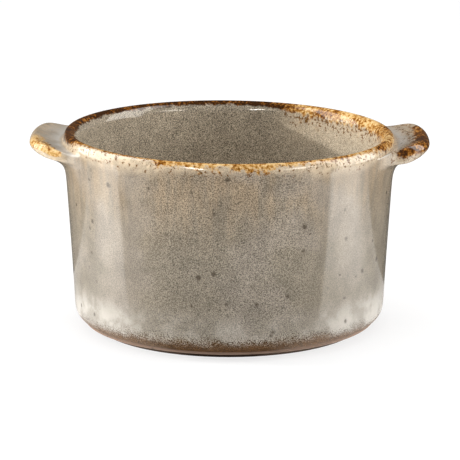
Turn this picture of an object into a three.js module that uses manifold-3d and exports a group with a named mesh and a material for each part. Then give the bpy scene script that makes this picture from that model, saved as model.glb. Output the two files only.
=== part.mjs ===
// A stoneware ramekin with two lug handles: a turned bowl, a lug luted to each side of its wall,
// and the coats of glaze fired over the clay.
// Millimetres, +Z up. The origin lies on the table below the bowl's centre; the lugs point along -X and +X.

import * as THREE from "three";
import { mergeVertices } from "three/addons/utils/BufferGeometryUtils.js";
import Module from "manifold-3d";

// Bowl, measured over the glaze
const RIM_DIAMETER = 110;
const HEIGHT = 65;
const BASE_DIAMETER = 103.4;
const WALL_SWELL = 1.15; // above 1, the wall stands more upright towards the base

// Clay of the bowl
const WALL = 3.2;
const FLOOR = 4.6;
const INSIDE_CORNER = 7;
const HEEL_WIDTH = 6.5; // the rounded turn from the wall in to the foot
const HEEL_HEIGHT = 5.6;
const FOOT_WIDTH = 5;
const FOOT_HEIGHT = 1.6;
const FOOT_EASE = 0.4; // small chamfer on both edges of the foot ring

// Lugs, reach, width and heights measured over the glaze
const LUG_REACH = 11.4; // out beyond the rim
const LUG_WIDTH = 39.5;
const LUG_INSET = 7; // from the rim's outside in to the axis that the lug's rounded end is turned about
const LUG_DROP = 1; // from the top of the rim down to the lug's crest
const LUG_FALL = 4.5; // how much lower the underside lies at the wall than at the tip
const LUG_EDGE = 3.2; // thickness of the clay at the rounded edge
const LUG_DISH = 1.3; // hollow in the top, for the thumb

// Glaze and joints
const GLAZE = 0.5;
const SEAM = 0.3; // slip joint between lug and wall, and the line where two coats of glaze meet
const RIM_COAT_INSIDE = 50; // degrees round the lip, from its top, that the rust-coloured coat reaches
const RIM_COAT_OUTSIDE = 55;

// Fineness of the curves
const BOWL_SEGMENTS = 64;
const LUG_SEGMENTS = 36;
const RIM_COAT_STEPS = 6;
const SHOULDER_STEPS = 2;
const CORNER_STEPS = 5;
const WALL_STEPS = 4;
const EDGE_STEPS = 8;
const DISH_STEPS = 3;

// Colours of the photographed glaze, and of the clay bare at the foot
const GREY_GLAZE = 0x968a78;
const RUST_GLAZE = 0x8c6238;
const LUG_GLAZE = 0xa0907a;
const CLAY = 0xb59f88;

const wasm = await Module();
wasm.setup();

// Solids

function toSolid(geometry) {
  const bare = new THREE.BufferGeometry();
  bare.setAttribute("position", geometry.getAttribute("position"));
  bare.setIndex(geometry.getIndex());
  const merged = mergeVertices(bare, 1e-3);
  const vertProperties = merged.getAttribute("position").array;
  const triVerts = new Uint32Array(merged.getIndex().array);
  return new wasm.Manifold(new wasm.Mesh({ numProp: 3, vertProperties, triVerts }));
}

function toMesh(name, solid, color, roughness) {
  const { vertProperties, triVerts } = solid.getMesh();
  const geometry = new THREE.BufferGeometry();
  geometry.setAttribute("position", new THREE.BufferAttribute(vertProperties, 3));
  geometry.setIndex(new THREE.BufferAttribute(triVerts, 1));
  geometry.computeVertexNormals();
  const mesh = new THREE.Mesh(geometry, new THREE.MeshStandardMaterial({ color, roughness }));
  mesh.name = name;
  return mesh;
}

// Outlines: (radius, height) points that run outwards over a top, and down an outside

function point(radius, height) {
  return new THREE.Vector2(radius, height);
}

// Points of an arc about a centre, from one angle to another, both ends included.
function arc(centre, width, height, from, to, steps) {
  const points = [];
  for (let i = 0; i <= steps; i += 1) {
    const angle = from + ((to - from) * i) / steps;
    points.push(point(centre.x + width * Math.cos(angle), centre.y + height * Math.sin(angle)));
  }
  return points;
}

// The outline moved out from the clay by a thickness, point for point.
function grown(outline, thickness) {
  return outline.map((here, i) => {
    const before = outline[Math.max(i - 1, 0)];
    const after = outline[Math.min(i + 1, outline.length - 1)];
    const inDirection = here.clone().sub(before).normalize();
    const outDirection = after.clone().sub(here).normalize();
    const along = inDirection.add(outDirection).normalize();
    const out = point(-along.y, along.x);
    return here.clone().addScaledVector(out, thickness);
  });
}

// The lathe's faces point outwards when the outline runs up the outside, so it is taken backwards.
function turnedGeometry(outline, segments) {
  return new THREE.LatheGeometry([...outline].reverse(), segments).rotateX(Math.PI / 2);
}

// Outline of the bowl's clay

const rimRadius = RIM_DIAMETER / 2 - GLAZE;
const baseRadius = BASE_DIAMETER / 2 - GLAZE;
const lipRadius = WALL / 2;
const lipHeight = HEIGHT - GLAZE - lipRadius;
const heelTop = FOOT_HEIGHT + HEEL_HEIGHT;
const floorTop = FOOT_HEIGHT + FLOOR;
const footRadius = baseRadius - HEEL_WIDTH;

// Outside radius of the wall's clay at a height between the heel and the lip.
function wallRadius(height) {
  const rise = Math.max(0, (height - heelTop) / (lipHeight - heelTop));
  return baseRadius + (rimRadius - baseRadius) * rise ** WALL_SWELL;
}

// Points up the wall between two heights, without its ends.
function wallRun(from, to, inset) {
  const points = [];
  for (let i = 1; i < WALL_STEPS; i += 1) {
    const height = from + ((to - from) * i) / WALL_STEPS;
    points.push(point(wallRadius(height) - inset, height));
  }
  return points;
}

const cornerTop = floorTop + INSIDE_CORNER;
const cornerCentre = point(wallRadius(cornerTop) - WALL - INSIDE_CORNER, cornerTop);
const lipCentre = point(rimRadius - lipRadius, lipHeight);
const heelCentre = point(footRadius, heelTop);

// Part of the half-round lip, by degrees from its top: inwards is positive.
function lipArc(from, to, steps) {
  const turn = (degrees) => Math.PI / 2 + THREE.MathUtils.degToRad(degrees);
  return arc(lipCentre, lipRadius, lipRadius, turn(from), turn(to), steps);
}

const floorAndCorner = [
  point(0, floorTop),
  ...arc(cornerCentre, INSIDE_CORNER, INSIDE_CORNER, -Math.PI / 2, 0, CORNER_STEPS),
];
const insideWall = wallRun(cornerTop, lipHeight, WALL);
const innerShoulder = lipArc(90, RIM_COAT_INSIDE, SHOULDER_STEPS).slice(0, -1);
const rimCoated = lipArc(RIM_COAT_INSIDE, -RIM_COAT_OUTSIDE, RIM_COAT_STEPS);
const outerShoulder = lipArc(-RIM_COAT_OUTSIDE, -90, SHOULDER_STEPS).slice(1);
const outsideWall = wallRun(heelTop, lipHeight, 0).reverse();
const heel = arc(heelCentre, HEEL_WIDTH, HEEL_HEIGHT, 0, -Math.PI / 2, CORNER_STEPS);

// Everything that is dipped in glaze, from the middle of the floor over the lip to the end of the heel.
const beforeRim = [...floorAndCorner, ...insideWall, ...innerShoulder];
const afterRim = [...outerShoulder, ...outsideWall, ...heel];
const dipped = [...beforeRim, ...rimCoated, ...afterRim];
const insideEdge = beforeRim.length;
const outsideEdge = insideEdge + RIM_COAT_STEPS;
const heelEdge = dipped.length - 2; // the last step of the heel is wiped bare

const footRing = [
  point(footRadius, FOOT_EASE),
  point(footRadius - FOOT_EASE, 0),
  point(footRadius - FOOT_WIDTH + FOOT_EASE, 0),
  point(footRadius - FOOT_WIDTH, FOOT_EASE),
  point(footRadius - FOOT_WIDTH, FOOT_HEIGHT),
  point(0, FOOT_HEIGHT),
];

// Outline of a lug's clay, about its own axis

const lugAxis = RIM_DIAMETER / 2 - LUG_INSET;
const lugRadius = LUG_INSET + LUG_REACH - GLAZE;
const lugStretch = LUG_WIDTH / 2 / (lugRadius + GLAZE);
const lugCrest = HEIGHT - LUG_DROP - GLAZE;
const edgeRadius = LUG_EDGE / 2;
const edgeCentre = point(lugRadius - edgeRadius, lugCrest - edgeRadius);
const rootRadius = wallRadius(edgeCentre.y) - lugAxis; // where the wall crosses the lug's middle line

// The top falls in a smooth wave from the crest to the dish.
function lugTop(dish) {
  const points = [point(0, lugCrest - dish)];
  for (let i = 0; i < DISH_STEPS; i += 1) {
    const share = i / DISH_STEPS;
    const radius = rootRadius + (edgeCentre.x - rootRadius) * share;
    const dip = (dish * (1 + Math.cos(Math.PI * share))) / 2;
    points.push(point(radius, lugCrest - dip));
  }
  return points;
}

function lugOutline(dish) {
  const edge = arc(edgeCentre, edgeRadius, edgeRadius, Math.PI / 2, -Math.PI / 2, EDGE_STEPS);
  return [...lugTop(dish), ...edge, point(0, lugCrest - LUG_EDGE)];
}

// Lowers the underside along a straight slope from the tip to the wall; the edge above its middle stays.
function slopeUnderside(geometry, side, thickness) {
  const position = geometry.getAttribute("position");
  for (let i = 0; i < position.count; i += 1) {
    const depth = (edgeCentre.y - position.getZ(i)) / (edgeRadius + thickness);
    const run = (edgeCentre.x - side * position.getX(i)) / (edgeCentre.x - rootRadius);
    const fall = LUG_FALL * Math.max(0, run) * THREE.MathUtils.clamp(depth, 0, 1);
    position.setZ(i, position.getZ(i) - fall);
  }
}

// A whole oval disc, of which only the end outside the wall is kept.
function lugBlank(side, thickness, dish) {
  const outline = grown(lugOutline(dish), thickness);
  const geometry = turnedGeometry(outline, LUG_SEGMENTS);
  slopeUnderside(geometry, side, thickness);
  geometry.scale(1, lugStretch, 1);
  geometry.translate(side * lugAxis, 0, 0);
  return toSolid(geometry);
}

// Bowl

function bowl() {
  return toSolid(turnedGeometry([...dipped, ...footRing], BOWL_SEGMENTS));
}

// What a lug is scribed to: the bowl filled to its outside, moved out by the slip joint, and carried up past the rim.
function scribe() {
  const outside = grown(dipped, SEAM).slice(outsideEdge + SHOULDER_STEPS);
  const top = HEIGHT + LUG_EDGE;
  const first = outside[0];
  const last = outside[outside.length - 1];
  const outline = [point(0, top), point(first.x, top), ...outside, point(0, last.y)];
  return toSolid(turnedGeometry(outline, BOWL_SEGMENTS));
}

// Coats of glaze, each between the clay and the same outline moved out by the glaze

function coat(from, to) {
  const clay = dipped.slice(from, to + 1);
  const surface = grown(dipped, GLAZE).slice(from, to + 1);
  const outline = [...surface, ...clay.reverse()];
  if (from > 0) {
    outline.push(outline[0].clone());
  }
  return toSolid(turnedGeometry(outline, BOWL_SEGMENTS));
}

function insideGlaze() {
  return coat(0, insideEdge);
}

// The bowl's coats stop short all round each lug, where the lug's own coat begins.
function clearOfLugs(solid, dish) {
  const margin = GLAZE + SEAM;
  return solid.subtract(lugBlank(-1, margin, dish)).subtract(lugBlank(1, margin, dish));
}

// Above a lug's dish the rim coat runs on down to the lug.
function rimGlaze() {
  return clearOfLugs(coat(insideEdge, outsideEdge), LUG_DISH);
}

// The outside coat stays clear of the whole height of a lug, so none of it is left in the dish.
function outsideGlaze() {
  return clearOfLugs(coat(outsideEdge, heelEdge), 0);
}

// Lugs and their glaze

function lug(side) {
  return lugBlank(side, 0, LUG_DISH).subtract(scribe());
}

function lugGlaze(side) {
  const clay = lugBlank(side, 0, LUG_DISH);
  return lugBlank(side, GLAZE, LUG_DISH).subtract(clay).subtract(scribe());
}

const ramekin = new THREE.Group();
ramekin.name = "ramekin";
ramekin.add(toMesh("bowl", bowl(), CLAY, 0.8));
ramekin.add(toMesh("inside_glaze", insideGlaze(), GREY_GLAZE, 0.2));
ramekin.add(toMesh("rim_glaze", rimGlaze(), RUST_GLAZE, 0.2));
ramekin.add(toMesh("outside_glaze", outsideGlaze(), GREY_GLAZE, 0.2));
ramekin.add(toMesh("left_lug", lug(-1), CLAY, 0.8));
ramekin.add(toMesh("right_lug", lug(1), CLAY, 0.8));
ramekin.add(toMesh("left_lug_glaze", lugGlaze(-1), LUG_GLAZE, 0.2));
ramekin.add(toMesh("right_lug_glaze", lugGlaze(1), LUG_GLAZE, 0.2));

export default ramekin;
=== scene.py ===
import math
from collections import namedtuple

import bmesh
import bpy
from mathutils import Matrix, Vector

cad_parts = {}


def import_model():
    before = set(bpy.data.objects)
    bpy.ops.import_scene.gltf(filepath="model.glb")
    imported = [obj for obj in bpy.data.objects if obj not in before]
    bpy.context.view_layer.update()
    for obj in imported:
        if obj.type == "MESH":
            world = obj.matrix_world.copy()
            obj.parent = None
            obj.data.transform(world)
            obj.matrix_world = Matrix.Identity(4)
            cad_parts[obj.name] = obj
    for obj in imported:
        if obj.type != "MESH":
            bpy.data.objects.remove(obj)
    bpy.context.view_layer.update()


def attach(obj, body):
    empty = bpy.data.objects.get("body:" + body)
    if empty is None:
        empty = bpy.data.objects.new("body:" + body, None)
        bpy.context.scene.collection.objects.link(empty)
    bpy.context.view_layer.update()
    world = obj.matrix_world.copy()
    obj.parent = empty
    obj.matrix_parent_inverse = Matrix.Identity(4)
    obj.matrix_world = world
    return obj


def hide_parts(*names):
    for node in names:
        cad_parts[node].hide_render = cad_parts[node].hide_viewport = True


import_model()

# Sizes of the fired ramekin, in millimetres over the glaze
MM = 0.001
RIM_RADIUS = 55.0
HEIGHT = 65.0
BASE_RADIUS = 51.7
WALL = 4.2
WALL_SWELL = 1.15
FLOOR_TOP = 6.7
INSIDE_CORNER = 6.5
HEEL_WIDTH = 6.5
HEEL_HEIGHT = 5.6
FOOT_HEIGHT = 1.6
FOOT_WIDTH = 5.0
FOOT_EASE = 0.35
GLAZE = 0.45
CLEARANCE = 0.1
HEEL_TOP = FOOT_HEIGHT + HEEL_HEIGHT
CORNER_TOP = FLOOR_TOP + INSIDE_CORNER

# Lip: its crown lies near the outside, and a longer slope runs down to the inside
LIP_RADIUS = WALL / 2
LIP_HEIGHT = HEIGHT - LIP_RADIUS
LIP_SHOULDER = 3.6
SHOULDER_FOOT = HEIGHT - LIP_SHOULDER
LIP_CROWN = 1.8
LIP_SLOPE_WIDTH = 3.2
LIP_SLOPE_DROP = 4.0
LIP_FULLNESS = 0.13
THICKENS_FROM = 35.0

# Lower end of the glaze, a small roll on the curve of the heel; angles in degrees
GLAZE_END_ANGLE = -62.0
EDGE_ROLL = 0.55
EDGE_ROLL_START = 10.0
EDGE_ROLL_END = -150.0

# Rim leans a little to the right, as a thrown pot does
RIM_LEAN = 0.0125

# Fineness of the cage that the subdivision rounds
SEGMENTS = 72
ROUNDING = 2
FLOOR_RINGS = 3

# How near a vertex of the cage lies to a place to count as being there, in millimetres; NEAR_END is a share
MERGE_REACH = 1e-4
NEAR_ROW = 0.05
NEAR_WALL = 1.0
NEAR_CROWN = 0.1
NEAR_HEEL = 1.0
NEAR_END = 0.01

# Lugs: columns and rows of the wall that one grows from, and its outline in plan
LUG_COLUMNS = 12
LUG_ROOT_ROWS = (0.0, 0.28, 0.6, 1.0)
LUG_ROOT_DROP = 9.0
LUG_ROOT_RISE = 5.5
LUG_ROOT_ANGLE = LUG_COLUMNS / 2 * 360 / SEGMENTS
LUG_FILLET_ANGLE = 25.0
LUG_FILLET_RISE = 0.6
LUG_AXIS = 48.0
LUG_HALF_WIDTH = 20.0
LUG_SQUARENESS = 3.0
LUG_SWEEP = 66.0
LUG_LOOPS = (0.35, 0.62, 0.82, 1.0)

# Lugs: shape of the top and the edge
LUG_EARS = 0.6
LUG_TILT = 0.03
LUG_BACK_FALL = 1.7
LUG_HOLLOW = 61.9
LUG_NOSE = 2.0

# Each lug: its length out from LUG_AXIS, and heights of its top and underside; the right one is the thicker
# Its glaze: how dark and how specked it is, the right lug's darkness and specks being partly painted shade,
# how far the pale pool reaches, and where the rusty brow ends
Lug = namedtuple("Lug", "side length crest underside slope front_fall dark specks pool brow_end brow_foot")
LEFT_LUG = Lug(
    side=-1, length=18.2, crest=64.4, underside=60.4, slope=0.1, front_fall=2.1,
    dark=-0.25, specks=0.1, pool=1.0, brow_end=-0.1, brow_foot=0.25,
)
# The right lug's dark rust, its specks and its lost cream are partly painted shade for the light it gets
# less of
RIGHT_LUG = Lug(
    side=1, length=18.5, crest=64.1, underside=59.5, slope=0.17, front_fall=0.3,
    dark=0.75, specks=0.75, pool=0.7, brow_end=0.45, brow_foot=0.13,
)
LUGS = (LEFT_LUG, RIGHT_LUG)

# Glaze on the lugs: shares of the way up the edge or out to the tip, and strengths of cream and specks; the
# cream on the tips is partly a painted highlight
BROW_FADE = 0.3
BROW_HEIGHT = 0.5
LUG_TOP_FROM = 0.7
LUG_TIP_FROM = 0.5
POOL_FROM = 0.2
LUG_CREAM = 0.1
LUG_CREAM_AND_HIGHLIGHT_TIP = 0.8
LUG_CREAM_LOST = 0.7
LUG_SPECKS_BELOW = 0.8
LUG_SPECKS_TOP = 0.2
LUG_SPECKS_REACH = (0.2, 0.6)

# Glaze towards the lip: how far below it the rust runs, and the heights at which cream and specks come in;
# the cream on the lip's shoulder is partly a painted highlight
GOLD_RUN = 3.2
FRONT_RUN = 1.0
LUG_RUN = 2.0
INSIDE_CREAM_FROM = 46.0
OUTSIDE_CREAM_FROM = 58.5
FRONT_CREAM_RISE = 3.5
SPECKS_FROM = 56.0
CREAM_FULL = 64.0

# Glaze towards the lip: strength of cream and specks, and how much less rust lies front left and right,
# where the cream shown instead is partly a painted highlight
INSIDE_CREAM = 0.65
INSIDE_SPECKS = 1.25
OUTSIDE_SPECKS = 0.6
RIGHT_MORE_SPECKS = 0.1
INSIDE_PALER = 0.3
OUTSIDE_PALER = 0.75
RIGHT_LESS_PALE = 0.3

# Sides of the pot: the one whose rim is darkest, in degrees from the right lug round the back; the cream and
# rust inside on the other side, where the left lamp falls, are partly painted light
# The bands are the sines or cosines of the way round over which one side passes into the next
DARK_RIM_ANGLE = 135.0
DARK_SIDE = (0.25, 0.5)
FRONT_SIDE = (0.85, 1.0)
RIGHT_SIDE = (0.1, 0.4)
LUG_SIDES = (0.8, 0.95)
# Where the lip is paler at the front left and right: cream glaze, partly a painted highlight on the shoulder
CREAM_AND_HIGHLIGHT_FRONT = (0.25, 0.55)
CREAM_AND_HIGHLIGHT_SIDES = (0.25, 0.5)


# Shapes: helpers

def smooth_step(low, high, value):
    share = min(1.0, max(0.0, (value - low) / (high - low)))
    return share * share * (3.0 - 2.0 * share)


def bend(start, middle, end, share):
    """A point on the curve that leaves start towards middle and comes into end from middle."""
    return start.lerp(middle, share).lerp(middle.lerp(end, share), share)


def arc(centre_r, centre_z, width, height, start, end, steps):
    """Points of an arc in the turning plane, by angles in degrees, both ends included."""
    points = []
    for i in range(steps + 1):
        angle = math.radians(start + (end - start) * i / steps)
        points.append((centre_r + width * math.cos(angle), centre_z + height * math.sin(angle)))
    return points


def wall_radius(height):
    """Outside of the wall at a height between the heel and the lip."""
    rise = max(0.0, (height - HEEL_TOP) / (LIP_HEIGHT - HEEL_TOP))
    return BASE_RADIUS + (RIM_RADIUS - BASE_RADIUS) * rise ** WALL_SWELL


def wall_run(start, end, steps, inset):
    """Points along the wall between two heights, both ends left out."""
    heights = [start + (end - start) * i / steps for i in range(1, steps)]
    return [(wall_radius(z) - inset, z) for z in heights]


def floor_radius():
    """Radius at which the flat floor inside turns up into the corner."""
    return wall_radius(CORNER_TOP) - WALL - INSIDE_CORNER


def floor_run(radius, height):
    """Points from the middle of a flat floor outwards, the outer end left out."""
    return [(radius * i / FLOOR_RINGS, height) for i in range(FLOOR_RINGS)]


def of_kind(items, kind):
    return [item for item in items if isinstance(item, kind)]


def turn(bm, points):
    """Spins a run of (radius, height) points into a full turn of faces about the upright axis."""
    verts = [bm.verts.new((r, 0.0, z)) for r, z in points]
    edges = [bm.edges.new(pair) for pair in zip(verts, verts[1:])]
    bmesh.ops.spin(
        bm, geom=verts + edges, axis=(0, 0, 1), cent=(0, 0, 0),
        angle=math.tau, steps=SEGMENTS, use_merge=True,
    )
    bmesh.ops.remove_doubles(bm, verts=bm.verts[:], dist=MERGE_REACH)
    bmesh.ops.recalc_face_normals(bm, faces=bm.faces[:])
    outermost = max(bm.faces, key=lambda face: face.calc_center_median().x)
    if outermost.normal.x < 0:
        bmesh.ops.reverse_faces(bm, faces=bm.faces[:])


def lean(bm):
    """Lets the rim lean to one side; the foot stays flat on the table."""
    for vert in bm.verts:
        vert.co.z -= RIM_LEAN * vert.co.x * smooth_step(0.0, HEIGHT, vert.co.z)


def finish_piece(bm, name, material, replaced):
    """Turns a cage in millimetres into a piece in metres that rides on the part."""
    bmesh.ops.scale(bm, vec=(MM, MM, MM), verts=bm.verts[:])
    mesh = bpy.data.meshes.new(name)
    bm.to_mesh(mesh)
    bm.free()
    mesh.shade_smooth()
    piece = bpy.data.objects.new(name, mesh)
    bpy.context.scene.collection.objects.link(piece)
    mesh.materials.append(material)
    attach(piece, "root")
    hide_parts(*replaced)
    return piece


def round_off(piece):
    rounding = piece.modifiers.new("rounding", "SUBSURF")
    rounding.levels = ROUNDING
    rounding.render_levels = ROUNDING


# Lugs: drawn out of a patch of the wall

def lug_rows():
    """Heights of the rows of the wall that a lug grows out of, from the lip's shoulder down."""
    return [SHOULDER_FOOT - LUG_ROOT_DROP * share for share in LUG_ROOT_ROWS]


def on_wall(angle, height):
    radius = wall_radius(height)
    turned = math.radians(angle)
    return Vector((radius * math.cos(turned), radius * math.sin(turned), height))


def slide_on_wall(vert, height):
    angle = math.degrees(math.atan2(vert.co.y, vert.co.x))
    vert.co = on_wall(angle, height)


def lug_root_rise(across, up):
    """How far the foot of a lug's root climbs towards its two ends."""
    return LUG_ROOT_RISE * across * across * (1.0 - up)


def mark_lug_roots(bm, across_layer, up_layer):
    """Notes on each vertex of the wall where it lies in a lug's root; returns the faces of each root."""
    rows = lug_rows()
    roots = {-1: set(), 1: set()}
    for vert in bm.verts:
        radius = math.hypot(vert.co.x, vert.co.y)
        side = 1 if vert.co.x > 0 else -1
        across = math.degrees(math.atan2(vert.co.y, abs(vert.co.x))) / LUG_ROOT_ANGLE
        if abs(across) > 1.0 + NEAR_END:
            continue
        for i, z in enumerate(rows):
            if abs(vert.co.z - z) < NEAR_ROW and radius > wall_radius(z) - NEAR_WALL:
                vert[across_layer] = across
                vert[up_layer] = 1.0 - i / (len(rows) - 1)
                roots[side].add(vert)
                slide_on_wall(vert, z + lug_root_rise(across, vert[up_layer]))
    return {side: [f for f in bm.faces if all(v in roots[side] for v in f.verts)] for side in roots}


def lug_outline(lug, across):
    """A point of a lug's outline in plan, a little squarer than an ellipse, and the way outwards there."""
    swept = math.radians(across * LUG_SWEEP)
    power = 2.0 / LUG_SQUARENESS
    along = math.cos(swept) ** power
    aside = math.copysign(abs(math.sin(swept)) ** power, across)
    point = Vector((LUG_AXIS + lug.length * along, LUG_HALF_WIDTH * aside, 0.0))
    outward = Vector((math.cos(swept) / lug.length, math.sin(swept) / LUG_HALF_WIDTH, 0.0))
    return point, outward.normalized()


def lug_point(lug, across, up, share):
    """A point of a lug's skin: across its width, up its thickness, and a share of the way out to its tip."""
    rows = lug_rows()
    root_height = rows[round((1.0 - up) * (len(rows) - 1))] + lug_root_rise(across, up)
    root = on_wall(across * LUG_ROOT_ANGLE, root_height)
    tip, outward = lug_outline(lug, across)
    droop = LUG_TILT * tip.y
    fall = lug.front_fall if across < 0.0 else LUG_BACK_FALL
    top = lug.crest + LUG_EARS * math.sin(math.pi * across ** 2) - fall * across ** 4 + droop
    bottom = lug.underside - lug.slope * (LUG_AXIS + lug.length - tip.x) + droop
    tip.z = bottom + (top - bottom) * up
    middle = on_wall(across * LUG_FILLET_ANGLE, root_height + LUG_FILLET_RISE * (tip.z - root_height))
    if up > 1.0 - NEAR_END:
        middle.z = LUG_HOLLOW + (SHOULDER_FOOT - LUG_HOLLOW) * across * across
    spot = bend(root, middle, tip, share)
    if share > 1.0 - NEAR_END:
        corner = (2.0 * up - 1.0) ** 2 * (1.0 - across ** 4)
        spot -= outward * LUG_NOSE * corner
    return spot


def mark_lug(vert, lug, share, layers):
    """Notes how the glaze lies on a lug: rust on the brow, a pale pool in the hollow, cream that is partly a
    painted highlight on the tip below the brow, and specks.
    """
    up = vert[layers["lug_up"]]
    across = vert[layers["lug_across"]]
    on_top = smooth_step(LUG_TOP_FROM, 1.0, up)
    at_tip = smooth_step(LUG_TIP_FROM, 1.0, share)
    along_brow = smooth_step(lug.brow_end + BROW_FADE, lug.brow_end - BROW_FADE, across)
    up_brow = smooth_step(lug.brow_foot, lug.brow_foot + BROW_HEIGHT, up)
    # Cream on the tip below the brow: glaze, partly a painted highlight
    creamy = LUG_CREAM_AND_HIGHLIGHT_TIP * at_tip * (1.0 - on_top) * (1.0 - LUG_CREAM_LOST * lug.dark)
    specked = lug.specks * (LUG_SPECKS_BELOW + LUG_SPECKS_TOP * on_top)
    vert[layers["edge"]] = at_tip * up_brow * along_brow
    vert[layers["pool"]] = on_top * (1.0 - smooth_step(POOL_FROM, lug.pool, share))
    vert[layers["cream"]] = LUG_CREAM + creamy
    vert[layers["specks"]] = specked * smooth_step(*LUG_SPECKS_REACH, share)
    vert[layers["dark"]] = lug.dark
    vert[layers["inside"]] = 0.0


def grow_lug(bm, lug, faces, layers, keep_root=False):
    """Draws a lug out of a patch of faces, loop by loop, and notes how the glaze lies on it."""
    for share in LUG_LOOPS:
        grown = bmesh.ops.extrude_face_region(bm, geom=faces)["geom"]
        if share > LUG_LOOPS[0] or not keep_root:
            bmesh.ops.delete(bm, geom=faces, context="FACES")
        faces = of_kind(grown, bmesh.types.BMFace)
        for vert in of_kind(grown, bmesh.types.BMVert):
            spot = lug_point(lug, vert[layers["lug_across"]], vert[layers["lug_up"]], share)
            vert.co = (lug.side * spot.x, spot.y, spot.z)
            mark_lug(vert, lug, share, layers)


# Glaze coat: one skin over the inside, the lip, the wall and both lugs

def glaze_outline():
    corner_r = floor_radius()
    slope_foot = HEIGHT - LIP_SLOPE_DROP
    thicker = LIP_CROWN + LIP_SLOPE_WIDTH - WALL
    crown_r = RIM_RADIUS - LIP_CROWN
    slope_rise = LIP_SLOPE_DROP + LIP_FULLNESS
    shoulder_width = LIP_CROWN + LIP_FULLNESS
    shoulder_rise = LIP_SHOULDER + LIP_FULLNESS
    points = floor_run(corner_r, FLOOR_TOP)
    points += arc(corner_r, CORNER_TOP, INSIDE_CORNER, INSIDE_CORNER, -90, 0, steps=3)
    for r, z in wall_run(CORNER_TOP, slope_foot, steps=6, inset=WALL):
        points.append((r - thicker * smooth_step(THICKENS_FROM, slope_foot, z), z))
    points += arc(crown_r, slope_foot, LIP_SLOPE_WIDTH, slope_rise, 180, 90, steps=4)
    points += arc(crown_r, SHOULDER_FOOT, shoulder_width, shoulder_rise, 60, 0, steps=2)
    points += [(wall_radius(z), z) for z in lug_rows()[1:]]
    points += wall_run(lug_rows()[-1], HEEL_TOP, steps=8, inset=0.0)
    points += arc(BASE_RADIUS - HEEL_WIDTH, HEEL_TOP, HEEL_WIDTH, HEEL_HEIGHT, 0, GLAZE_END_ANGLE, steps=4)
    end_r, end_z = points[-1]
    points += arc(end_r, end_z, EDGE_ROLL, EDGE_ROLL, EDGE_ROLL_START, EDGE_ROLL_END, steps=3)
    return points


def glaze_layers(bm):
    """Room on each vertex for its place on a lug and for how the glaze lies there."""
    names = ("lug_across", "lug_up", "edge", "pool", "cream", "specks", "dark", "inside")
    for name in names:
        bm.verts.layers.float.new(name)
    return {name: bm.verts.layers.float[name] for name in names}


# How the glaze lies near the lip: how far the rust runs, and how pale, specked and creamy it is
Lie = namedtuple("Lie", "run paler specks cream cream_from")


def lie_inside(dark):
    """Inside the lip, where one side is dark and the other golden and creamy, partly as painted light where
    the left lamp falls.
    """
    bright = 1.0 - dark
    # Golden side inside: cream, rust and specks of the glaze, partly painted light where the left lamp falls
    return Lie(
        run=GOLD_RUN * bright, paler=INSIDE_PALER, specks=INSIDE_SPECKS * bright,
        cream=INSIDE_CREAM * bright, cream_from=INSIDE_CREAM_FROM,
    )


def lie_outside(angle):
    """Outside the lip, where more rust runs in front and by the lugs, more specks lie to the right, and the
    cream comes in lower beside the front, partly as a painted highlight.
    """
    in_front = smooth_step(*FRONT_SIDE, -math.sin(angle))
    by_lug = smooth_step(*LUG_SIDES, abs(math.cos(angle)))
    to_right = smooth_step(*RIGHT_SIDE, math.cos(angle))
    return Lie(
        run=FRONT_RUN * in_front + LUG_RUN * by_lug,
        paler=OUTSIDE_PALER - RIGHT_LESS_PALE * to_right,
        specks=OUTSIDE_SPECKS + RIGHT_MORE_SPECKS * to_right,
        cream=1.0,
        cream_from=OUTSIDE_CREAM_FROM + FRONT_CREAM_RISE * in_front,
    )


def mark_glaze(bm, layers):
    """Notes at each vertex how the glaze lies there: thin on the lip, creamy below it and partly a painted
    highlight there, dark on one side.
    """
    darkest = math.radians(DARK_RIM_ANGLE)
    for vert in bm.verts:
        height = vert.co.z
        angle = math.atan2(vert.co.y, vert.co.x)
        crown = wall_radius(height) - LIP_CROWN
        inside = height > HEEL_TOP - NEAR_HEEL and vert.co.xy.length < crown + NEAR_CROWN
        dark = smooth_step(*DARK_SIDE, math.cos(angle - darkest))
        lie = lie_inside(dark) if inside else lie_outside(angle)
        thin = max(0.0, (height - LIP_HEIGHT + lie.run) / (LIP_RADIUS + lie.run))
        # Paler lip at the front left and right: cream glaze, partly a painted highlight on the shoulder
        cream_and_highlight_front = smooth_step(*CREAM_AND_HIGHLIGHT_FRONT, -math.sin(angle))
        cream_and_highlight_side = cream_and_highlight_front * smooth_step(*CREAM_AND_HIGHLIGHT_SIDES, abs(math.cos(angle)))
        vert[layers["edge"]] = thin * (1.0 - lie.paler * cream_and_highlight_side)
        vert[layers["dark"]] = dark
        vert[layers["inside"]] = 1.0 if inside else 0.0
        vert[layers["cream"]] = smooth_step(lie.cream_from, CREAM_FULL, height) * lie.cream
        vert[layers["specks"]] = smooth_step(SPECKS_FROM, CREAM_FULL, height) * lie.specks


def glaze_coat(material):
    bm = bmesh.new()
    layers = glaze_layers(bm)
    turn(bm, glaze_outline())
    mark_glaze(bm, layers)
    roots = mark_lug_roots(bm, layers["lug_across"], layers["lug_up"])
    lean(bm)
    for lug in LUGS:
        grow_lug(bm, lug, roots[lug.side], layers)
    coats = ("inside_glaze", "rim_glaze", "outside_glaze", "left_lug_glaze", "right_lug_glaze")
    piece = finish_piece(bm, "glaze_coat", material, coats)
    round_off(piece)
    skin = piece.modifiers.new("thickness", "SOLIDIFY")
    skin.thickness = GLAZE * MM
    skin.offset = -1.0


# Clay: bare at the foot, under the glaze everywhere else

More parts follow.
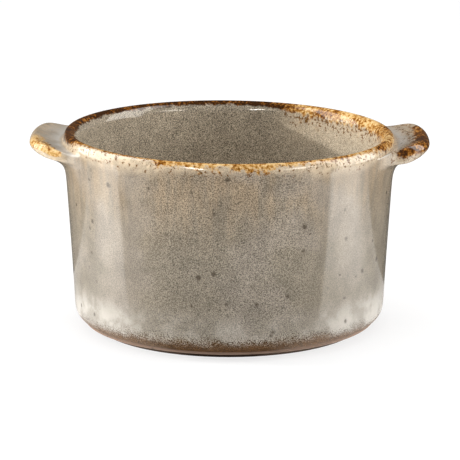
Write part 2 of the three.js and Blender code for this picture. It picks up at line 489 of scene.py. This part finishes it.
def clay_outline():
    inset = GLAZE + CLEARANCE
    floor_top = FLOOR_TOP - inset
    corner = INSIDE_CORNER + inset
    lip_radius = LIP_RADIUS - inset
    corner_r = floor_radius()
    foot_r = BASE_RADIUS - HEEL_WIDTH
    foot_inner = foot_r - FOOT_WIDTH
    points = floor_run(corner_r, floor_top)
    points += arc(corner_r, CORNER_TOP, corner, corner, -90, 0, steps=4)
    points += wall_run(CORNER_TOP, LIP_HEIGHT, steps=4, inset=WALL - inset)
    points += arc(RIM_RADIUS - LIP_RADIUS, LIP_HEIGHT, lip_radius, lip_radius, 180, 0, steps=6)
    points += wall_run(LIP_HEIGHT, HEEL_TOP, steps=5, inset=inset)
    points += arc(foot_r, HEEL_TOP, HEEL_WIDTH - inset, HEEL_HEIGHT - inset, 0, -90, steps=5)
    points += [(foot_r, FOOT_EASE), (foot_r - FOOT_EASE, 0.0)]
    points += [(foot_inner + FOOT_EASE, 0.0), (foot_inner, FOOT_EASE)]
    points += [(foot_inner, FOOT_HEIGHT - FOOT_EASE), (foot_inner - FOOT_EASE, FOOT_HEIGHT)]
    points += reversed(floor_run(foot_inner, FOOT_HEIGHT))
    return points


def clay_bowl(material):
    bm = bmesh.new()
    turn(bm, clay_outline())
    lean(bm)
    finish_piece(bm, "clay_bowl", material, ("bowl",))


def clay_lug(lug, node, material):
    """The clay of a lug, drawn out of the wall like its glaze, and smaller by the glaze's thickness."""
    bm = bmesh.new()
    layers = glaze_layers(bm)
    bmesh.ops.create_grid(bm, x_segments=LUG_COLUMNS, y_segments=len(LUG_ROOT_ROWS) - 1, size=1.0)
    for vert in bm.verts:
        vert[layers["lug_across"]] = vert.co.x
        vert[layers["lug_up"]] = (vert.co.y + 1.0) / 2.0
        root = lug_point(lug, vert[layers["lug_across"]], vert[layers["lug_up"]], 0.0)
        vert.co = (lug.side * root.x, root.y, root.z)
    grow_lug(bm, lug, bm.faces[:], layers, keep_root=True)
    bmesh.ops.recalc_face_normals(bm, faces=bm.faces[:])
    for vert in bm.verts:
        vert.co -= vert.normal * (GLAZE + CLEARANCE)
    round_off(finish_piece(bm, node + "_clay", material, (node,)))


# Materials: helpers

def blank_material(name):
    material = bpy.data.materials.new(name)
    material.use_nodes = True
    tree = material.node_tree
    tree.nodes.clear()
    output = tree.nodes.new("ShaderNodeOutputMaterial")
    return material, tree, output.inputs["Surface"]


def pot_material(name):
    material, tree, surface = blank_material(name)
    shader = tree.nodes.new("ShaderNodeBsdfPrincipled")
    tree.links.new(shader.outputs["BSDF"], surface)
    return material, tree, shader


def put(tree, socket, value):
    """Feeds a socket from another socket, or with a plain value."""
    if isinstance(value, bpy.types.NodeSocket):
        tree.links.new(value, socket)
    else:
        socket.default_value = value


def calc(tree, operation, first, second=0.0):
    node = tree.nodes.new("ShaderNodeMath")
    node.operation = operation
    put(tree, node.inputs[0], first)
    put(tree, node.inputs[1], second)
    return node.outputs[0]


def plus(tree, first, second):
    return calc(tree, "ADD", first, second)


def times(tree, first, second):
    return calc(tree, "MULTIPLY", first, second)


def spread(tree, value, low, high, to_low=0.0, to_high=1.0):
    """Carries a value from one range smoothly into another, and holds it at the ends."""
    node = tree.nodes.new("ShaderNodeMapRange")
    node.interpolation_type = "SMOOTHSTEP"
    put(tree, node.inputs["Value"], value)
    put(tree, node.inputs["From Min"], low)
    put(tree, node.inputs["From Max"], high)
    put(tree, node.inputs["To Min"], to_low)
    put(tree, node.inputs["To Max"], to_high)
    return node.outputs["Result"]


def blend(tree, share, first, second, kind="MIX"):
    """Mixes two colours; the colour sockets of a Mix node are its inputs 6 and 7 and its output 2."""
    node = tree.nodes.new("ShaderNodeMix")
    node.data_type = "RGBA"
    node.blend_type = kind
    put(tree, node.inputs["Factor"], share)
    put(tree, node.inputs[6], first)
    put(tree, node.inputs[7], second)
    return node.outputs[2]


def toned(tree, colour, tone, share=1.0):
    """A colour made darker or lighter by a tone, all over or by a share."""
    return blend(tree, share, colour, tone, "MULTIPLY")


def ramp(tree, value, stops):
    """A colour picked along a run of (position, colour) stops."""
    node = tree.nodes.new("ShaderNodeValToRGB")
    put(tree, node.inputs["Fac"], value)
    first, second = node.color_ramp.elements
    for element, (position, colour) in zip((first, second), (stops[0], stops[-1])):
        element.position = position
        element.color = colour
    for position, colour in stops[1:-1]:
        node.color_ramp.elements.new(position).color = colour
    return node.outputs["Color"]


def object_place(tree):
    return tree.nodes.new("ShaderNodeTexCoord").outputs["Object"]


def axes(tree, place):
    """The x, y and z of a place."""
    split = tree.nodes.new("ShaderNodeSeparateXYZ")
    tree.links.new(place, split.inputs[0])
    return split.outputs


def stretched(tree, coordinates, factors):
    node = tree.nodes.new("ShaderNodeVectorMath")
    node.operation = "MULTIPLY"
    put(tree, node.inputs[0], coordinates)
    node.inputs[1].default_value = factors
    return node.outputs[0]


def noise(tree, coordinates, size_mm, detail=2.0, roughness=0.5):
    """Cloudy noise whose blotches are about so many millimetres across."""
    node = tree.nodes.new("ShaderNodeTexNoise")
    put(tree, node.inputs["Vector"], coordinates)
    node.inputs["Scale"].default_value = 1.0 / (size_mm * MM)
    node.inputs["Detail"].default_value = detail
    node.inputs["Roughness"].default_value = roughness
    return node.outputs["Fac"]


def centred(tree, value):
    """Noise about nought instead of about a half."""
    return calc(tree, "SUBTRACT", value, 0.5)


def spots(tree, coordinates, spacing_mm, radius_mm, wobble):
    """Roundish soft spots of uneven size, strewn about so far apart."""
    node = tree.nodes.new("ShaderNodeTexVoronoi")
    put(tree, node.inputs["Vector"], coordinates)
    node.inputs["Scale"].default_value = 1.0 / (spacing_mm * MM)
    split = tree.nodes.new("ShaderNodeSeparateColor")
    tree.links.new(node.outputs["Color"], split.inputs["Color"])
    edge = times(tree, split.outputs[0], radius_mm / spacing_mm)
    inner = times(tree, edge, SPOT_CORE)
    distance = plus(tree, node.outputs["Distance"], times(tree, wobble, SPOT_WOBBLE))
    return spread(tree, distance, inner, edge, 1.0, 0.0)


def attribute(tree, name):
    node = tree.nodes.new("ShaderNodeAttribute")
    node.attribute_name = name
    return node.outputs["Fac"]


def roughen(tree, shader, height, strength, depth):
    """Gives a surface the fine relief of a noise."""
    bump = tree.nodes.new("ShaderNodeBump")
    bump.inputs["Strength"].default_value = strength
    bump.inputs["Distance"].default_value = depth
    tree.links.new(height, bump.inputs["Height"])
    tree.links.new(bump.outputs[0], shader.inputs["Normal"])


# Reactive glaze: grainy warm grey, rust and amber on edges, pale where it pools with a painted reflection
# low at the sides, cream towards the lip partly as a painted highlight, brown and thin at the heel

GREY = (0.265, 0.228, 0.175, 1.0)
GREY_WARM = (0.335, 0.255, 0.17, 1.0)
GREY_INSIDE = (0.345, 0.294, 0.222, 1.0)
HAZE = (0.33, 0.285, 0.235, 1.0)
PALE_BAND_AND_REFLECTION = (0.6, 0.56, 0.5, 1.0)
POOL_PALE = (0.55, 0.54, 0.51, 1.0)
CREAM_AND_HIGHLIGHT = (0.74, 0.59, 0.41, 1.0)
GOLD_LIGHT = (0.74, 0.51, 0.24, 1.0)
GOLD = (0.53, 0.295, 0.085, 1.0)
AMBER = (0.31, 0.122, 0.017, 1.0)
RUST = (0.135, 0.042, 0.004, 1.0)
IRON = (0.042, 0.015, 0.003, 1.0)
SPECK = (0.155, 0.072, 0.022, 1.0)
SPOT = (0.06, 0.044, 0.03, 1.0)
HEEL_BROWN = (0.225, 0.104, 0.028, 1.0)
HEEL_DARK = (0.045, 0.02, 0.006, 1.0)
EDGE_PALE_AND_HIGHLIGHT = (0.33, 0.22, 0.16, 1.0)
RUST_SHADES = ((0.0, GOLD_LIGHT), (0.25, GOLD), (0.5, AMBER), (0.78, RUST), (1.0, IRON))

# Glaze: about how many millimetres across the patterns are
GRAIN_SIZE = 0.3
FINE_SIZE = 0.95
BLOTCH_SIZE = 1.3
RIPPLE_SIZE = 1.4
TEAR_SIZE = 2.4
STREAK_SIZE = 2.4
MOTTLE_SIZE = 8.0
DRIFT_SIZE = 13.0
CLOUD_SIZE = 22.0
STREAK_STRETCH = (1.0, 1.0, 0.1)

# Glaze: heights over which one look passes into another, upwards or downwards
WARM_RISE = (30 * MM, 62 * MM)
STREAK_RISE = (25 * MM, 55 * MM)
LOWER_RISE = (16 * MM, 36 * MM)
BAND_FALL = (19 * MM, 9 * MM)
HEEL_FALL = (8.3 * MM, 5.1 * MM)
DRY_FALL = (7.0 * MM, 4.5 * MM)
ROLL_FALL = (3.0 * MM, 2.6 * MM)

# Glaze: distances from the middle to either side, or to the front, over which a look changes
GRAIN_REACH = (18 * MM, 34 * MM)
BAND_REFLECTION_REACH = (18 * MM, 42 * MM)
HEEL_REACH = (28 * MM, 46 * MM)
FRONT_REACH = (-46 * MM, -52 * MM)

# Glaze: part of a noise's range over which a look comes in
NOISE_RANGE = (0.3, 0.7)
STREAK_RANGE = (0.3, 0.66)
CLOUD_RANGE = (0.48, 0.66)
GRAIN_RANGE = (0.28, 0.7)
BAND_RANGE = (0.4, 0.6)
POOL_RANGE = (0.3, 0.55)
BROWN_RANGE = (0.35, 0.65)
CREAM_RANGE = (-0.14, 0.12)
SPECK_RANGE = (0.125, 0.2)

# Glaze: the least and the most of each look
WARM_TONES = (0.35, 1.0)
HAZE_TONES = (0.0, 0.6)
STREAK_TONES = (0.93, 1.06)
LOWER_TONES = (0.92, 1.0)
MOTTLE_TONES = (0.88, 1.11)
GRAIN_TONES = (0.4, 1.5)
GRAIN_ASIDE = (1.0, 0.45)
GRAIN_INSIDE = 0.4
BAND_TONES = (0.35, 0.85)
BAND_REFLECTION_ASIDE = (0.36, 1.0)
POOL_TONES = (0.5, 0.95)
CREAM_TONES = (0.5, 1.0)
GLOSS = (0.08, 0.14)
DRYNESS = (0.0, 0.5)
RIPPLE_STRENGTH = 0.25
RIPPLE_DEPTH = 0.05 * MM

# Glaze: how ragged and how wavy the brown's upper line is, and how much lower it lies at the sides
HEEL_RAGGED = 10 * MM
HEEL_WAVED = 5 * MM
HEEL_LOWERED = (0.0, 1.3 * MM)

# Glaze: iron spots and faint smudges, in millimetres, and their strength; spots are weaker inside
SPOT_SPACING = 4.8
SPOT_RADIUS = 1.3
SPOT_CORE = 0.3
SPOT_WOBBLE = 0.25
SPOT_STRENGTHS = (0.75, 0.35)
SMUDGE_SPACING = 15.0
SMUDGE_RADIUS = 3.6
SMUDGE_STRENGTH = 0.3

# Glaze: where rust covers the lip; it is broken up by patches in front, and by tears all round
PATCHES = 2.4
PATCH_LOSS = 0.12
TEARS = 1.5
FRONT_TEARS = 1.3
RUST_RANGE = (0.27, 0.6)
LIP_RANGE = (0.02, 0.15)

# Glaze: what makes up a speck, and the places that have any
SPECK_GRAIN = 0.6
SPECK_PULL = 0.14
SPECK_PLACES = (0.1, 0.5)

# Glaze: what makes rust darker or lighter, from gold at nought to iron at one
RUST_TONE = 0.36
DARK_TONE = 0.62
FRONT_TONE = -0.18
TEAR_TONE = 1.7
DRIFT_TONE = 1.4
FINE_TONE = 2.6


def glaze_material():
    material, tree, shader = pot_material("reactive_glaze")
    place = object_place(tree)
    x, y, z = axes(tree, place)
    aside = calc(tree, "ABSOLUTE", x)
    front = spread(tree, y, *FRONT_REACH)
    grain = noise(tree, place, GRAIN_SIZE, detail=1.0)
    mottle = noise(tree, place, MOTTLE_SIZE, detail=4.0, roughness=0.6)
    torn = centred(tree, noise(tree, place, TEAR_SIZE, detail=5.0, roughness=0.7))
    drift = centred(tree, noise(tree, place, DRIFT_SIZE))
    fine = centred(tree, noise(tree, place, FINE_SIZE, detail=3.0, roughness=0.65))

    colour = body_colour(tree, place, z, mottle)
    colour = grain_colour(tree, colour, aside, grain)
    colour = pale_colour(tree, colour, aside, z, mottle)
    colour = heel_colour(tree, colour, aside, z, mottle, grain)
    colour = iron_spots(tree, colour, place, torn)
    colour = cream_colour(tree, colour, place, torn, fine)
    rust = rust_colour(tree, front, torn, drift, fine)
    colour = blend(tree, rust_cover(tree, front, torn, drift), colour, rust)
    tree.links.new(colour, shader.inputs["Base Color"])

    dry = spread(tree, z, *DRY_FALL, *DRYNESS)
    roughness = plus(tree, spread(tree, mottle, *NOISE_RANGE, *GLOSS), dry)
    tree.links.new(roughness, shader.inputs["Roughness"])
    roughen(tree, shader, noise(tree, place, RIPPLE_SIZE), RIPPLE_STRENGTH, RIPPLE_DEPTH)
    return material


def body_colour(tree, place, z, mottle):
    """Grey that warms in streaks towards the rim, hazy in clouds, a little darker low down, and mottled."""
    cloud = noise(tree, place, CLOUD_SIZE)
    streak = noise(tree, stretched(tree, place, STREAK_STRETCH), STREAK_SIZE, roughness=0.55)
    warm = times(tree, spread(tree, z, *WARM_RISE), spread(tree, streak, *STREAK_RANGE, *WARM_TONES))
    colour = blend(tree, warm, GREY, GREY_WARM)
    colour = blend(tree, spread(tree, cloud, *CLOUD_RANGE, *HAZE_TONES), colour, HAZE)
    streaks = spread(tree, streak, *NOISE_RANGE, *STREAK_TONES)
    colour = toned(tree, colour, streaks, spread(tree, z, *STREAK_RISE))
    colour = toned(tree, colour, spread(tree, z, *LOWER_RISE, *LOWER_TONES))
    colour = blend(tree, attribute(tree, "inside"), colour, GREY_INSIDE)
    return toned(tree, colour, spread(tree, mottle, *NOISE_RANGE, *MOTTLE_TONES))


def grain_colour(tree, colour, aside, grain):
    """Fine grain, fainter at the sides and strongest inside."""
    inside = attribute(tree, "inside")
    grains = spread(tree, grain, *GRAIN_RANGE, *GRAIN_TONES)
    grained = calc(tree, "MAXIMUM", spread(tree, aside, *GRAIN_REACH, *GRAIN_ASIDE), inside)
    colour = toned(tree, colour, grains, grained)
    return toned(tree, colour, grains, times(tree, inside, GRAIN_INSIDE))


def pale_colour(tree, colour, aside, z, mottle):
    """A pale band above the heel where the glaze pooled, made stronger at the sides by a painted reflection
    of the bright board under the pot, and pale pools in the lugs' hollows.
    """
    band = times(tree, spread(tree, z, *BAND_FALL), spread(tree, mottle, *BAND_RANGE, *BAND_TONES))
    # Painted reflection: the pale band grows stronger towards the sides, where the bright board under the
    # pot would mirror
    band = times(tree, band, spread(tree, aside, *BAND_REFLECTION_REACH, *BAND_REFLECTION_ASIDE))
    colour = blend(tree, band, colour, PALE_BAND_AND_REFLECTION)
    pooled = times(tree, attribute(tree, "pool"), spread(tree, mottle, *POOL_RANGE, *POOL_TONES))
    return blend(tree, pooled, colour, POOL_PALE)


def heel_colour(tree, colour, aside, z, mottle, grain):
    """Thin brown glaze round the heel, fading up into the grey grain by grain, and its pale end roll, partly
    thin glaze and partly a painted highlight where the roll catches light.
    """
    ragged = times(tree, centred(tree, grain), HEEL_RAGGED)
    waved = times(tree, centred(tree, mottle), HEEL_WAVED)
    line = plus(tree, z, plus(tree, ragged, waved))
    line = plus(tree, line, spread(tree, aside, *HEEL_REACH, *HEEL_LOWERED))
    brown = blend(tree, spread(tree, grain, *BROWN_RANGE), HEEL_DARK, HEEL_BROWN)
    outside = calc(tree, "SUBTRACT", 1.0, attribute(tree, "inside"))
    thinned = times(tree, spread(tree, line, *HEEL_FALL), outside)
    colour = blend(tree, thinned, colour, brown)
    # Pale end roll: thin glaze, partly a painted highlight where the roll catches light
    return blend(tree, spread(tree, z, *ROLL_FALL), colour, EDGE_PALE_AND_HIGHLIGHT)


def iron_spots(tree, colour, place, torn):
    """Dark iron spots, and a few faint wide smudges."""
    smudge = spots(tree, place, SMUDGE_SPACING, SMUDGE_RADIUS, torn)
    colour = blend(tree, times(tree, smudge, SMUDGE_STRENGTH), colour, SPOT)
    spot = spots(tree, place, SPOT_SPACING, SPOT_RADIUS, torn)
    strength = spread(tree, attribute(tree, "inside"), 0.0, 1.0, *SPOT_STRENGTHS)
    return blend(tree, times(tree, spot, strength), colour, SPOT)


def cream_colour(tree, colour, place, torn, fine):
    """Cream towards the lip, partly a painted highlight on the lip's shoulder and on the lugs' tips, strewn
    with rust specks.
    """
    cream = times(tree, attribute(tree, "cream"), spread(tree, torn, *CREAM_RANGE, *CREAM_TONES))
    # Cream glaze, partly a painted highlight on the lip's shoulder and the lugs' tips
    colour = blend(tree, cream, colour, CREAM_AND_HIGHLIGHT)
    specks = attribute(tree, "specks")
    blotch = centred(tree, noise(tree, place, BLOTCH_SIZE, detail=3.0, roughness=0.7))
    strewn = plus(tree, times(tree, blotch, SPECK_GRAIN), times(tree, fine, SPECK_GRAIN))
    strewn = plus(tree, strewn, times(tree, specks, SPECK_PULL))
    speck = times(tree, spread(tree, strewn, *SPECK_RANGE), spread(tree, specks, *SPECK_PLACES))
    return blend(tree, speck, colour, SPECK)


def rust_cover(tree, front, torn, drift):
    """Where the glaze is thin enough to fire to rust: all over the lip, but only in patches in front."""
    edge = attribute(tree, "edge")
    patch = calc(tree, "SUBTRACT", times(tree, drift, PATCHES), PATCH_LOSS)
    thin = plus(tree, edge, times(tree, front, patch))
    breaks = times(tree, torn, plus(tree, times(tree, front, FRONT_TEARS), TEARS))
    thin = plus(tree, thin, breaks)
    return times(tree, spread(tree, thin, *RUST_RANGE), spread(tree, edge, *LIP_RANGE))


def rust_colour(tree, front, torn, drift, fine):
    """Rust that is speckled from gold to black."""
    tone = times(tree, attribute(tree, "dark"), DARK_TONE)
    for wave, weight in ((front, FRONT_TONE), (torn, TEAR_TONE), (drift, DRIFT_TONE), (fine, FINE_TONE)):
        tone = plus(tree, tone, times(tree, wave, weight))
    return ramp(tree, plus(tree, tone, RUST_TONE), RUST_SHADES)


# Bare clay: fired stoneware with grog, with painted shade darkening the outside of the foot under the heel's
# overhang

CLAY_LIGHT = (0.5, 0.38, 0.28, 1.0)
CLAY_DARK = (0.3, 0.2, 0.135, 1.0)
# Painted shade: the dark outside of the foot, where the heel's overhang shades it
CLAY_PAINTED_SHADE = (0.07, 0.04, 0.024, 1.0)
PAINTED_SHADE_REACH = (43.5 * MM, 44.5 * MM)
PAINTED_SHADE_FALL = (2.2 * MM, 1.8 * MM)
CLAY_CLOUD_SIZE = 9.0
CLAY_CLOUD_RANGE = (0.35, 0.65)
CLAY_ROUGHNESS = 0.8
GROG_SIZE = 0.5
GROG_TONES = (0.75, 1.15)
GROG_STRENGTH = 0.4
GROG_DEPTH = 0.1 * MM


def clay_material():
    material, tree, shader = pot_material("bare_clay")
    place = object_place(tree)
    x, y, z = axes(tree, place)
    grog = noise(tree, place, GROG_SIZE, detail=3.0, roughness=0.6)
    cloud = noise(tree, place, CLAY_CLOUD_SIZE, detail=3.0)
    colour = blend(tree, spread(tree, cloud, *CLAY_CLOUD_RANGE), CLAY_LIGHT, CLAY_DARK)
    colour = toned(tree, colour, spread(tree, grog, *NOISE_RANGE, *GROG_TONES))
    across = calc(tree, "SQRT", plus(tree, times(tree, x, x), times(tree, y, y)))
    # Painted shade round the outside of the foot ring, under the heel
    foot_shade = times(tree, spread(tree, across, *PAINTED_SHADE_REACH), spread(tree, z, *PAINTED_SHADE_FALL))
    colour = blend(tree, foot_shade, colour, CLAY_PAINTED_SHADE)
    tree.links.new(colour, shader.inputs["Base Color"])
    shader.inputs["Roughness"].default_value = CLAY_ROUGHNESS
    roughen(tree, shader, grog, GROG_STRENGTH, GROG_DEPTH)
    return material


# Stage: floor, lamps, world and camera; sizes in metres

WHITE = (1.0, 1.0, 1.0, 1.0)
BLACK = (0.0, 0.0, 0.0, 1.0)
FLOOR_WHITE = (0.85, 0.85, 0.85, 1.0)
CARD_COLOUR = (1.0, 0.97, 0.92, 1.0)

# Floor, and how much of the pot's shade is seen on it
FLOOR_REACH = 3.0
FLOOR_HOLE = 45.0 * MM
FLOOR_HEIGHT = -0.06 * MM
FLOOR_GLOW = 1.06
FLOOR_SHADE = 0.3
RING_SEGMENTS = 96

# Dim room and table top that the glaze reflects
ROOM_RADIUS = 1.5
ROOM_FINENESS = 4
TABLE_HEIGHT = -0.045 * MM
DIM = 0.07

# Glowing boards under the pot, seen only in the glaze as a painted reflection of a lit table, with painted
# shade near the pot and towards the back
PLINTH_HEIGHT = -0.03 * MM
PLINTH_REACH = 450 * MM
PLINTH_FRONT = 42 * MM
PLINTH_SHADE = (50 * MM, 210 * MM)
PLINTH_TONES = (0.42, 1.06)
PLINTH_FADE = (-20 * MM, 30 * MM)
PLINTH_BACK = 0.33

# Upright strips at the sides and flat strips above, which the glaze reflects
STRIP_DISTANCE = 0.5
STRIP_TOP = 1.0
STRIP_FOOT = 0.02
OVERHEAD_FRONT = -0.62
OVERHEAD_BACK = -0.36
OVERHEAD_HEIGHT = 0.32

# Black sheet that keeps the left lamps off the back of the pot
FLAG_SIZE = 120 * MM
FLAG_PLACE = -80 * MM
FLAG_EDGE = 50.0 * MM
FLAG_HEIGHT = 110 * MM

# Lamps, world and camera
LAMP_AIM = Vector((0.0, 0.0, 0.05))
WORLD_SEEN = 1.0
WORLD_FILL = 0.74
CAMERA_SENSOR = 36.0
CAMERA_LENS = 211.15
CAMERA_NEAR = 0.01
CAMERA_ELEVATION = 13.53
CAMERA_DISTANCE = 0.9
CAMERA_TARGET = Vector((0.27, 0.0, 31.1)) * MM


def flat_piece(bm, name, material):
    mesh = bpy.data.meshes.new(name)
    bm.to_mesh(mesh)
    bm.free()
    mesh.materials.append(material)
    piece = bpy.data.objects.new(name, mesh)
    bpy.context.scene.collection.objects.link(piece)
    return piece


def matte(tree, colour):
    node = tree.nodes.new("ShaderNodeBsdfDiffuse")
    node.inputs["Color"].default_value = colour
    return node.outputs[0]


def glow(tree, strength, colour):
    node = tree.nodes.new("ShaderNodeEmission")
    node.inputs["Color"].default_value = colour
    put(tree, node.inputs["Strength"], strength)
    return node.outputs[0]


def either(tree, share, first, second):
    node = tree.nodes.new("ShaderNodeMixShader")
    put(tree, node.inputs["Fac"], share)
    tree.links.new(first, node.inputs[1])
    tree.links.new(second, node.inputs[2])
    return node.outputs[0]


def seen_rays(tree):
    """1 for the rays that show the surroundings: straight to the camera, mirrored, or through glass."""
    light_path = tree.nodes.new("ShaderNodeLightPath")
    rays = light_path.outputs["Is Camera Ray"]
    for name in ("Is Glossy Ray", "Is Transmission Ray"):
        rays = calc(tree, "MAXIMUM", rays, light_path.outputs[name])
    return rays


def floor_material():
    """White card to the light; to the eye, white with part of the pot's shade, and clear from below."""
    material, tree, surface = blank_material("white_floor")
    white = matte(tree, FLOOR_WHITE)
    seen = either(tree, FLOOR_SHADE, glow(tree, FLOOR_GLOW, WHITE), white)
    below = tree.nodes.new("ShaderNodeNewGeometry").outputs["Backfacing"]
    seen = either(tree, below, seen, tree.nodes.new("ShaderNodeBsdfTransparent").outputs[0])
    tree.links.new(either(tree, seen_rays(tree), white, seen), surface)
    return material


def ring_piece(name, inner, outer, height, material):
    """A flat ring, facing up."""
    bm = bmesh.new()
    bmesh.ops.create_circle(bm, segments=RING_SEGMENTS, radius=inner)
    grown = bmesh.ops.extrude_edge_only(bm, edges=bm.edges[:])["geom"]
    verts = of_kind(grown, bmesh.types.BMVert)
    bmesh.ops.scale(bm, vec=(outer / inner, outer / inner, 1.0), verts=verts)
    bmesh.ops.translate(bm, vec=(0.0, 0.0, height), verts=bm.verts[:])
    bmesh.ops.recalc_face_normals(bm, faces=bm.faces[:])
    if bm.faces[:][0].normal.z < 0:
        bmesh.ops.reverse_faces(bm, faces=bm.faces[:])
    return flat_piece(bm, name, material)


def floor():
    """The floor is open under the foot, where only a view from below can see in."""
    ring_piece("floor", FLOOR_HOLE, FLOOR_REACH, FLOOR_HEIGHT, floor_material())


# Stage: what the glaze reflects

def seen_in_glaze_only(piece):
    piece.visible_camera = False
    piece.visible_diffuse = False
    piece.visible_shadow = False
    piece.visible_transmission = False


def card_material(name, radiance):
    material, tree, surface = blank_material(name)
    tree.links.new(glow(tree, radiance, CARD_COLOUR), surface)
    return material


def sheet(name, corners, material):
    """A flat glowing sheet, seen only in the glaze."""
    bm = bmesh.new()
    bm.faces.new([bm.verts.new(corner) for corner in corners])
    seen_in_glaze_only(flat_piece(bm, name, material))


def around(azimuth, height):
    """A place beside the pot, so many degrees from the camera's side, to the left when negative."""
    angle = math.radians(azimuth)
    return (STRIP_DISTANCE * math.sin(angle), -STRIP_DISTANCE * math.cos(angle), height)


def side_strip(name, inner, outer_top, outer_foot, radiance):
    """An upright strip of light at the pot's side, between azimuths in degrees."""
    corners = ((inner, STRIP_TOP), (outer_top, STRIP_TOP), (outer_foot, STRIP_FOOT), (inner, STRIP_FOOT))
    sheet(name, [around(azimuth, height) for azimuth, height in corners], card_material(name, radiance))


def overhead_strip(name, left, right, radiance):
    """A strip of light above and before the pot."""
    front, back, top = OVERHEAD_FRONT, OVERHEAD_BACK, OVERHEAD_HEIGHT
    corners = ((left, front, top), (right, front, top), (right, back, top), (left, back, top))
    sheet(name, corners, card_material(name, radiance))


def plinth_material(name, radiance):
    """Glowing, with painted shade: darker in the pot's own shade close under its heel, and towards the back.
    """
    material, tree, surface = blank_material(name)
    place = object_place(tree)
    backwards = axes(tree, place)["Y"]
    length = tree.nodes.new("ShaderNodeVectorMath")
    length.operation = "LENGTH"
    tree.links.new(place, length.inputs[0])
    shade = spread(tree, length.outputs["Value"], *PLINTH_SHADE, *PLINTH_TONES)
    fade = spread(tree, backwards, *PLINTH_FADE, radiance, PLINTH_BACK * radiance)
    tree.links.new(glow(tree, times(tree, shade, fade), CARD_COLOUR), surface)
    return material


def plinth(name, side, far_front, back, radiance):
    """Glowing board under the pot, on one side of it, a painted reflection of a brightly lit table."""
    far = side * PLINTH_REACH
    outline = ((0.0, -PLINTH_FRONT), (far, -far_front), (far, back), (0.0, back))
    sheet(name, [(x, y, PLINTH_HEIGHT) for x, y in outline], plinth_material(name, radiance))


def dim_room():
    """A dark table top and a dark room."""
    dim = card_material("dim_room", DIM)
    seen_in_glaze_only(ring_piece("table_top", FLOOR_HOLE, ROOM_RADIUS, TABLE_HEIGHT, dim))
    bm = bmesh.new()
    bmesh.ops.create_icosphere(bm, subdivisions=ROOM_FINENESS, radius=ROOM_RADIUS)
    seen_in_glaze_only(flat_piece(bm, "room", dim))


def reflections():
    """A dim room, a glowing board on each side under the pot as a painted reflection of a lit table, and
    strips of light at its sides and above.
    """
    dim_room()
    plinth("left_plinth", side=-1, far_front=78 * MM, back=60 * MM, radiance=3.6)
    plinth("right_plinth", side=1, far_front=140 * MM, back=46 * MM, radiance=3.8)
    side_strip("left_strip", inner=-83, outer_top=-127, outer_foot=-121, radiance=4.5)
    side_strip("right_strip", inner=75, outer_top=117, outer_foot=113, radiance=4.8)
    overhead_strip("narrow_strip", left=-0.235, right=-0.165, radiance=25.0)
    overhead_strip("wide_strip", left=0.42, right=0.66, radiance=10.0)


# Stage: lamps, world and camera

def softbox(name, place, width, height, radiance):
    """A flat rectangular lamp whose face has a given brightness; the glaze doesn't mirror it."""
    data = bpy.data.lights.new(name, "AREA")
    data.shape = "RECTANGLE"
    data.size = width
    data.size_y = height
    data.energy = radiance * math.pi * width * height
    lamp = bpy.data.objects.new(name, data)
    bpy.context.scene.collection.objects.link(lamp)
    lamp.location = place
    lamp.rotation_euler = (LAMP_AIM - Vector(place)).to_track_quat("-Z", "Y").to_euler()
    lamp.visible_camera = False
    lamp.visible_glossy = False


def flag():
    """A black sheet that keeps the left lamps off the back of the pot."""
    bm = bmesh.new()
    bmesh.ops.create_grid(bm, x_segments=1, y_segments=1, size=FLAG_SIZE / 2)
    bmesh.ops.rotate(bm, matrix=Matrix.Rotation(math.pi / 2, 3, "Y"), verts=bm.verts[:])
    bmesh.ops.translate(bm, vec=(FLAG_PLACE, FLAG_EDGE + FLAG_SIZE / 2, FLAG_HEIGHT), verts=bm.verts[:])
    material, tree, surface = blank_material("black_flag")
    tree.links.new(matte(tree, BLACK), surface)
    piece = flat_piece(bm, "flag", material)
    piece.visible_camera = False
    piece.visible_diffuse = False
    piece.visible_glossy = False


def lights():
    softbox("left_key", place=(-1.5, 0.105, 0.357), width=0.04, height=0.04, radiance=3050.0)
    softbox("left_fill", place=(-0.7, 0.093, 0.38), width=0.08, height=0.3, radiance=30.0)
    softbox("right_fill", place=(0.7, 0.0, 0.3), width=0.3, height=0.2, radiance=13.0)
    softbox("top_fill", place=(0.0, 0.0, 0.8), width=0.5, height=0.5, radiance=3.2)
    flag()


def background(tree, strength):
    node = tree.nodes.new("ShaderNodeBackground")
    node.inputs["Color"].default_value = WHITE
    node.inputs["Strength"].default_value = strength
    return node.outputs[0]


def world():
    """White to the eye and in reflections, and an even fill for everything else."""
    sky = bpy.data.worlds.new("studio")
    bpy.context.scene.world = sky
    sky.use_nodes = True
    tree = sky.node_tree
    tree.nodes.clear()
    output = tree.nodes.new("ShaderNodeOutputWorld")
    surface = either(tree, seen_rays(tree), background(tree, WORLD_FILL), background(tree, WORLD_SEEN))
    tree.links.new(surface, output.inputs["Surface"])


def camera():
    data = bpy.data.cameras.new("camera")
    data.sensor_width = CAMERA_SENSOR
    data.lens = CAMERA_LENS
    data.clip_start = CAMERA_NEAR
    seen_from = bpy.data.objects.new("camera", data)
    bpy.context.scene.collection.objects.link(seen_from)
    elevation = math.radians(CAMERA_ELEVATION)
    back = Vector((0.0, -math.cos(elevation), math.sin(elevation)))
    seen_from.location = CAMERA_TARGET + back * CAMERA_DISTANCE
    seen_from.rotation_euler = (-back).to_track_quat("-Z", "Y").to_euler()
    bpy.context.scene.camera = seen_from


clay = clay_material()
glaze_coat(glaze_material())
clay_bowl(clay)
for lug, node in zip(LUGS, ("left_lug", "right_lug")):
    clay_lug(lug, node, clay)
floor()
reflections()
lights()
world()
camera()
bpy.context.scene.view_settings.view_transform = "Standard"
